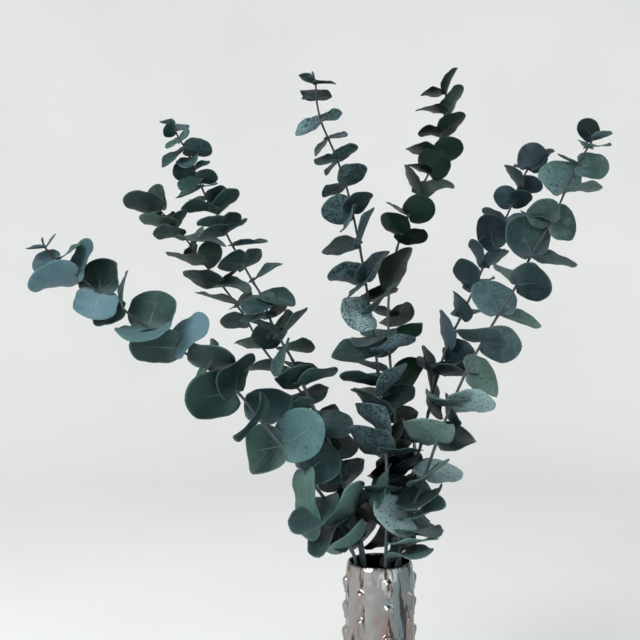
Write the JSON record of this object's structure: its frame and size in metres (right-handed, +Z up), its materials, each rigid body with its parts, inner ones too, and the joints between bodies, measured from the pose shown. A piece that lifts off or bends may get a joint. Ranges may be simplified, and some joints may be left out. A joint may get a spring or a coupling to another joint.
{
  "type": "eucalyptus branches in a vase",
  "caption": "Leafy eucalyptus branches fanned out in a tall narrow vase with rows of raised studs.",
  "frame": {"origin": "middle of the vase's flat underside", "axes": "+Z up along the vase, -Y towards the viewer of the picture, +X to the right"},
  "size_m": [0.5538, 0.169, 0.7082],
  "materials": {
    "vase_glaze": "silver lustre glaze over ceramic, mirror-like, slightly warm",
    "foliage": "preserved eucalyptus leaves and stems, satin, blue-green to dark green"
  },
  "bodies": {
    "root": {"vase": "vase_glaze", "branch_left_low": "foliage", "branch_left_thin": "foliage", "branch_left_tall": "foliage", "branch_middle": "foliage", "branch_dark": "foliage", "branch_right_inner": "foliage", "branch_right_outer": "foliage"}
  },
  "joints": []
}
